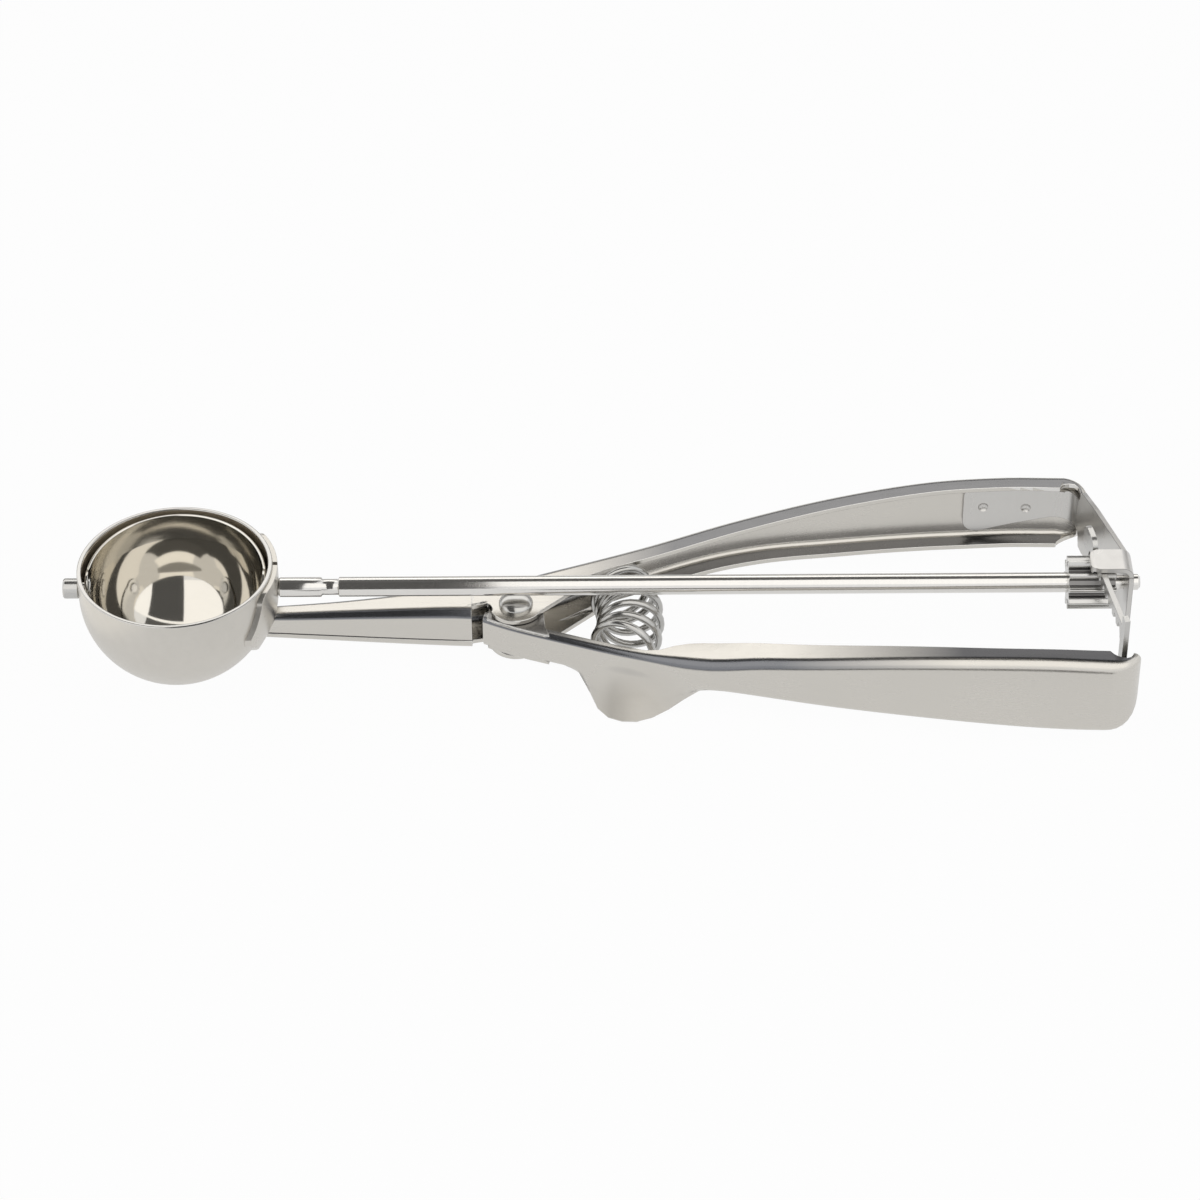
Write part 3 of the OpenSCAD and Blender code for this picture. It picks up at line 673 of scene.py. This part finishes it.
@dataclass
class FrameUnit:
    """The pressed frame with its bracket and the pivot rivet. Lengths are in millimetres."""

    steels: Steels
    nodes: dict[str, bpy.types.Object]
    # faces over this height whose normal's y lies under this one are the flange's cut edge,
    # which gets the painted highlight
    edge_height: float = 0.1
    edge_normal: float = -0.4
    pivot: float = 61.0
    rivet_top: float = -4.26
    rivet_bottom: float = -13.16
    shank: float = 2.0
    head: float = 3.1
    rise: float = 1.5
    brim: float = 0.25
    low_rise: float = 0.975
    low_brim: float = 0.2
    dome_power: float = 0.8
    dome_steps: int = 10
    rivet_steps: int = 64

    def build(self) -> None:
        """Makes the frame, the bracket and the rivet."""
        self.frame()
        self.bracket()
        self.rivet()

    def frame(self) -> None:
        """Dresses the frame, with a painted highlight on the cut edge of the fixed handle's top
        flange.
        """
        # the sweep's corners lie a little apart, so they are joined more widely
        shape = merged_copy(self.nodes["main_frame"], flat=False, join=2e-5)
        under = place(0, 0, self.edge_height).z
        for face in shape.faces:
            if face.calc_center_median().z > under and face.normal.y < self.edge_normal:
                face.material_index = 1
        piece = to_mesh("frame_sheet", shape, sharp=32)
        dress(piece, Body.FRAME, Slot.FRAME, "main_frame", self.steels.handle, self.steels.edge)
        # the bevels take the painted highlight too
        soften(piece, 0.08, segments=2, finish=1)

    def bracket(self) -> None:
        """Dresses the bracket; only its cut edges turn by more than the angle given here."""
        piece = to_mesh("bracket_sheet", merged_copy(self.nodes["rear_bracket"]))
        dress(piece, Body.FRAME, Slot.BRACKET, "rear_bracket", self.steels.bracket,
              self.steels.seam)
        # its bevels take the painted shade, a dark outline round the pad
        soften(piece, 0.06, segments=2, angle=87, finish=1)

    def rivet(self) -> None:
        """Spins the rivet with its two domed heads."""
        top, bottom = self.rivet_top, self.rivet_bottom
        low = self.dome(bottom, -self.low_brim, -self.low_rise)
        high = self.dome(top, self.brim, self.rise)
        profile = [(0.0, bottom - self.low_rise), *reversed(low), (self.head, bottom),
                   (self.shank, bottom), (self.shank, top), (self.head, top), *high,
                   (0.0, top + self.rise)]
        shape = lathe(profile, self.rivet_steps)
        bmesh.ops.translate(shape, vec=(self.pivot, 0, 0), verts=shape.verts)
        piece = to_mesh("pivot_rivet_round", settle(shape), sharp=40)
        dress(piece, Body.FRAME, Slot.POLISHED, "pivot_rivet", self.steels.head)

    def dome(self, seat: float, brim: float, rise: float) -> list[Point]:
        """Draws the outline of one domed head.

        Args:
            seat: The height of its flat side.
            brim: The height of its straight brim over the seat, negative for a head below.
            rise: Its full height over the seat, with the same sign.

        Returns:
            Points (radius, height) from the brim to just before the crown.
        """
        angles = (math.radians(90 * i / self.dome_steps) for i in range(self.dome_steps))
        return [(self.head * math.cos(a) ** self.dome_power,
                 seat + brim + (rise - brim) * math.sin(a)) for a in angles]


@dataclass
class LeverUnit:
    """The squeeze lever and its rack."""

    steels: Steels
    nodes: dict[str, bpy.types.Object]

    def build(self) -> None:
        """Makes the lever and the rack."""
        shape = merged_copy(self.nodes["lever_handle"], flat=False)
        piece = to_mesh("lever_sheet", shape, sharp=32)
        dress(piece, Body.LEVER, Slot.FRAME, "lever_handle", self.steels.lever, self.steels.edge)
        # the lever's bevels take the painted highlight
        soften(piece, 0.1, segments=2, finish=1)
        piece = to_mesh("rack_sheet", merged_copy(self.nodes["gear_rack"]))
        dress(piece, Body.LEVER, Slot.BRACKET, "gear_rack", self.steels.rack)
        soften(piece, 0.05)


@dataclass
class SpringUnit:
    """The coil between the handles. Lengths are in millimetres, angles in degrees."""

    steels: Steels
    turns: float = 6
    per_turn: int = 28
    sides: int = 14
    # turns at each end that are wound nearly shut, and their pitch in wire widths
    dead: float = 0.75
    shut: float = 1.08
    outer: float = 12.4
    wire: float = 1.3
    reach: float = 20.7
    pivot: float = 61.0
    height: float = -8.41
    low_angle: float = -23.5
    high_angle: float = 24.5
    # where the bending starts and ends, on both sides of the middle
    bend: float = 9.0

    def build(self) -> None:
        """Winds the coil, bends it and bakes it in place."""
        shape = self.wind()
        self.curve(shape)
        bmesh.ops.recalc_face_normals(shape, faces=shape.faces)
        piece = to_mesh("return_coil", settle(shape), sharp=60)
        dress(piece, None, Slot.SPRING, "return_spring", self.steels.wire)
        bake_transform(piece)

    def wind(self) -> bmesh.types.BMesh:
        """Winds the coil about the Z axis, in three pitches.

        Returns:
            The straight coil, with one end at height 0.
        """
        shape = bmesh.new()
        wire = bmesh.ops.create_circle(shape, cap_ends=True, segments=self.sides,
                                       radius=self.wire / 2)["verts"]
        bmesh.ops.rotate(shape, cent=(0, 0, 0), matrix=Matrix.Rotation(math.pi / 2, 3, "X"),
                         verts=wire)
        bmesh.ops.translate(shape, vec=((self.outer - self.wire) / 2, 0, 0), verts=wire)
        moving: list[Any] = list(shape.faces) + list(shape.edges) + list(shape.verts)
        span = self.reach * math.radians(self.high_angle - self.low_angle)
        close = self.wire * self.shut
        open_turns = self.turns - 2 * self.dead
        wide = (span - 2 * self.dead * close) / open_turns
        for turns, pitch in ((self.dead, close), (open_turns, wide), (self.dead, close)):
            steps = round(turns * self.per_turn)
            moving = bmesh.ops.spin(
                shape, geom=moving, cent=(0, 0, 0), axis=(0, 0, 1), steps=steps,
                dvec=(0, 0, turns * pitch / steps), angle=FULL_TURN * turns,
                use_merge=False)["geom_last"]
        return shape

    def curve(self, shape: bmesh.types.BMesh) -> None:
        """Bends the straight coil about the pivot.

        Args:
            shape: The coil, which changes in place.
        """
        bmesh.ops.rotate(shape, cent=(0, 0, 0), matrix=Matrix.Rotation(math.pi / 2, 3, "Z"),
                         verts=shape.verts)
        for vert in shape.verts:
            # x and y of the straight coil are across it, z runs along it
            angle = math.radians(self.low_angle) + vert.co.z / self.reach
            far = self.reach + vert.co.x
            vert.co = Vector((self.pivot + far * math.cos(angle), far * math.sin(angle),
                              self.height - vert.co.y))


@dataclass
class ScraperUnit:
    """The rod with its pinion, the scraper blade and the front stud."""

    steels: Steels
    nodes: dict[str, bpy.types.Object]
    # the pinion's faces under this radius in millimetres lie between its teeth and get painted
    # shade, unless their normal's x is larger than this: then they are its ends
    gap_radius: float = 3.6
    end_normal: float = 0.5
    # how closely the normals of the blade's outer face point away from the bowl's centre
    outward: float = 0.8

    def build(self) -> None:
        """Makes the rod, the pinion, the blade and the stud."""
        piece = to_mesh("drive_rod_round", merged_copy(self.nodes["drive_rod"]))
        dress(piece, Body.SCRAPER, Slot.POLISHED, "drive_rod", self.steels.rod)
        self.pinion()
        self.blade()
        piece = to_mesh("stud_round", merged_copy(self.nodes["front_stud"]))
        dress(piece, Body.SCRAPER, Slot.POLISHED, "front_stud", self.steels.head)
        soften(piece, 0.15, segments=2, angle=40)

    def pinion(self) -> None:
        """Dresses the pinion, with painted shade in the gaps between its teeth."""
        shape = merged_copy(self.nodes["pinion"])
        axis = place(0, 0, 0)
        for face in shape.faces:
            across = (face.calc_center_median() - axis).yz.length
            if abs(face.normal.x) < self.end_normal and across < self.gap_radius * MM:
                face.material_index = 1
        piece = to_mesh("pinion_teeth", shape)
        dress(piece, Body.SCRAPER, Slot.POLISHED, "pinion", self.steels.gear, self.steels.seam)
        soften(piece, 0.08, angle=40)

    def blade(self) -> None:
        """Dresses the blade, duller on the side that rubs the bowl."""
        shape = merged_copy(self.nodes["scraper_blade"], flat=False)
        centre = place(0, 0, 0)
        for face in shape.faces:
            away = (face.calc_center_median() - centre).normalized()
            if face.normal.dot(away) > self.outward:
                face.material_index = 1
        piece = to_mesh("scraper_band", shape, sharp=40)
        dress(piece, Body.SCRAPER, Slot.BLADE, "scraper_blade", self.steels.blade,
              self.steels.drab)
        soften(piece, 0.1)


# ---------------------------------------------------------------- studio


@dataclass(frozen=True)
class Screen:
    """A curved screen round the scoop, seen by reflections alone.

    It runs from one elevation to the other, in degrees from the front, and lies behind past
    90. Its ends and its distance are in metres.
    """

    name: str
    low: float
    high: float
    left: float
    right: float
    tone: float
    reach: float = 0.65
    steps: int = 12

    def mesh(self) -> bmesh.types.BMesh:
        """Spins the screen about the X axis.

        Returns:
            The screen's shape.
        """
        shape = bmesh.new()
        low = math.radians(self.low)
        start = Vector((0, -self.reach * math.cos(low), self.reach * math.sin(low)))
        ends = [shape.verts.new(start + Vector((x, 0, 0))) for x in (self.left, self.right)]
        edge = shape.edges.new(ends)
        bmesh.ops.spin(shape, geom=[edge, *ends], cent=(0, 0, 0), axis=(1, 0, 0),
                       angle=-math.radians(self.high - self.low), steps=self.steps)
        return shape


@dataclass(frozen=True)
class Apron:
    """A flat sheet on the table between two corners in metres, seen by reflections alone."""

    name: str
    near: Point
    far: Point
    tone: float
    height: float = 0.0004

    def mesh(self) -> bmesh.types.BMesh:
        """Makes the sheet's one face.

        Returns:
            The sheet's shape.
        """
        shape = bmesh.new()
        corners = (self.near, (self.far[0], self.near[1]), self.far, (self.near[0], self.far[1]))
        shape.faces.new([shape.verts.new((x, y, self.height)) for x, y in corners])
        return shape


CARDS = (
    Screen("gap", low=18, high=86, left=-0.0815, right=-0.022, tone=0.1, reach=0.08),
    Screen("fan", low=30, high=86, left=-1.3, right=0.9, tone=1.3),
    Apron("table_left", near=(-0.5, -0.5), far=(-0.11, 0.1), tone=1.05),
    Apron("table_front", near=(-0.012, -0.42), far=(0.1, -0.066), tone=0.2),
    Screen("ceiling", low=86, high=124, left=-0.45, right=0.45, tone=0.13),
    Screen("wall", low=124, high=152, left=-0.6, right=0.3, tone=1.5),
    Screen("skirting", low=152, high=176, left=-0.7, right=0.7, tone=0.42),
)


@dataclass
class Studio:
    """The camera, the floor, the lamps and the cards around the scoop."""

    target: Vector = field(default_factory=lambda: place(76.2, 0, -3.43))
    elevation: float = 38.8
    distance: float = 0.7
    view_width: float = 0.2166
    roll: float = 0.35
    sensor: float = 36
    # what the world gives to surfaces, against 1 for what the camera and reflections see
    fill: float = 0.45
    floor_half: float = 3
    floor_tone: float = 0.93
    floor_seen: float = 0.96
    floor_mirrored: float = 0.7
    aim: Vector = field(default_factory=lambda: Vector((0, 0, 0.01)))
    lamp_size: float = 0.5
    lamp_power: float = 1.1

    def build(self) -> None:
        """Sets up everything around the scoop."""
        self.camera()
        self.world()
        self.floor()
        self.lamp("left_box", (-0.6, -0.35, 0.6))
        self.lamp("right_box", (0.6, -0.35, 0.6))
        for card in CARDS:
            self.card(card)

    def camera(self) -> None:
        """Places the camera in front of the lever side, looking down."""
        lens = bpy.data.cameras.new("camera")
        lens.sensor_width = self.sensor
        lens.lens = self.sensor * self.distance / self.view_width
        lens.clip_start, lens.clip_end = 0.01, 20
        eye = bpy.data.objects.new("camera", lens)
        tilt = math.radians(self.elevation)
        back = Vector((0, -math.cos(tilt), math.sin(tilt)))
        turn = back.to_track_quat("Z", "Y").to_matrix().to_4x4()
        spin = Matrix.Rotation(-math.radians(self.roll), 4, "Z")
        eye.matrix_world = Matrix.Translation(self.target + back * self.distance) @ turn @ spin
        bpy.context.scene.collection.objects.link(eye)
        bpy.context.scene.camera = eye

    def world(self) -> None:
        """Gives plain light from all round, on a white background."""
        world = bpy.data.worlds.new("studio")
        tree = Tree(world)
        camera = tree.add("ShaderNodeLightPath", {}, {}, "Is Camera Ray")
        glossy = tree.add("ShaderNodeLightPath", {}, {}, "Is Glossy Ray")
        both = tree.add("ShaderNodeMath", {"operation": "MAXIMUM"}, {0: camera, 1: glossy})
        light = tree.add("ShaderNodeBackground", {}, {"Color": WHITE, "Strength": self.fill})
        plain = tree.add("ShaderNodeBackground", {}, {"Color": WHITE, "Strength": 1.0})
        mix = tree.add("ShaderNodeMixShader", {}, {0: both, 1: light, 2: plain})
        tree.end("ShaderNodeOutputWorld", mix)
        bpy.context.scene.world = world

    def floor(self) -> None:
        """Lays a wide pale floor under the bowl's lowest point."""
        shape = bmesh.new()
        bmesh.ops.create_grid(shape, x_segments=1, y_segments=1, size=self.floor_half)
        piece = to_mesh("floor", shape)
        tree = Tree(bpy.data.materials.new("floor_white"))
        pale = (self.floor_tone, self.floor_tone, self.floor_tone, 1)
        diffuse = tree.add("ShaderNodeBsdfDiffuse", {}, {"Color": pale})
        glow = tree.add("ShaderNodeEmission", {}, {"Color": WHITE, "Strength": 1.0})
        camera = tree.add("ShaderNodeLightPath", {}, {}, "Is Camera Ray")
        glossy = tree.add("ShaderNodeLightPath", {}, {}, "Is Glossy Ray")
        share = camera * self.floor_seen + glossy * self.floor_mirrored
        mix = tree.add("ShaderNodeMixShader", {}, {0: share, 1: diffuse, 2: glow})
        tree.end("ShaderNodeOutputMaterial", mix)
        piece.data.materials.append(tree.owner)
        piece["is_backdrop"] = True

    def lamp(self, name: str, at: tuple[float, float, float]) -> None:
        """Adds one square soft box that faces the scoop.

        Args:
            name: The lamp's name.
            at: Its place in metres.
        """
        lamp = bpy.data.lights.new(name, "AREA")
        lamp.shape = "RECTANGLE"
        lamp.size, lamp.size_y, lamp.energy = self.lamp_size, self.lamp_size, self.lamp_power
        stand = bpy.data.objects.new(name, lamp)
        away = Vector(at) - self.aim
        turn = away.to_track_quat("Z", "Y").to_matrix().to_4x4()
        stand.matrix_world = Matrix.Translation(at) @ turn
        stand.visible_glossy = False
        bpy.context.scene.collection.objects.link(stand)

    def card(self, card: Screen | Apron) -> None:
        """Adds a screen or an apron with a plain glow that only reflections pick up.

        Args:
            card: The screen or the apron.
        """
        piece = to_mesh(card.name, card.mesh())
        tree = Tree(bpy.data.materials.new(card.name + "_glow"))
        colour = (*(card.tone * part for part in WARM), 1)
        glow = tree.add("ShaderNodeEmission", {}, {"Color": colour, "Strength": 1.0})
        tree.end("ShaderNodeOutputMaterial", glow)
        piece.data.materials.append(tree.owner)
        piece.visible_camera = False
        piece.visible_shadow = False
        piece.visible_diffuse = False
        piece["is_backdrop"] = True


def main() -> dict[str, list[list[float]]]:
    """Loads the frame, builds the studio and every unit.

    Returns:
        The CAD model's box as lists of numbers.
    """
    logging.basicConfig(level=logging.INFO, format="%(name)s: %(message)s")
    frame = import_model()
    low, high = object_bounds()
    box = {"cad": [list(low), list(high)]}
    nodes: dict[str, bpy.types.Object] = frame["nodes"]
    bpy.context.scene.view_settings.view_transform = "Standard"
    Studio().build()
    steels = Steels()
    for unit in (BowlUnit(steels, nodes), FrameUnit(steels, nodes), LeverUnit(steels, nodes),
                 SpringUnit(steels), ScraperUnit(steels, nodes)):
        unit.build()
        LOG.info("%s done", type(unit).__name__)
    return box


if __name__ == "__main__":
    SIZES = main()
    LOW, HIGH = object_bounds()
    SIZES["visual"] = [list(LOW), list(HIGH)]
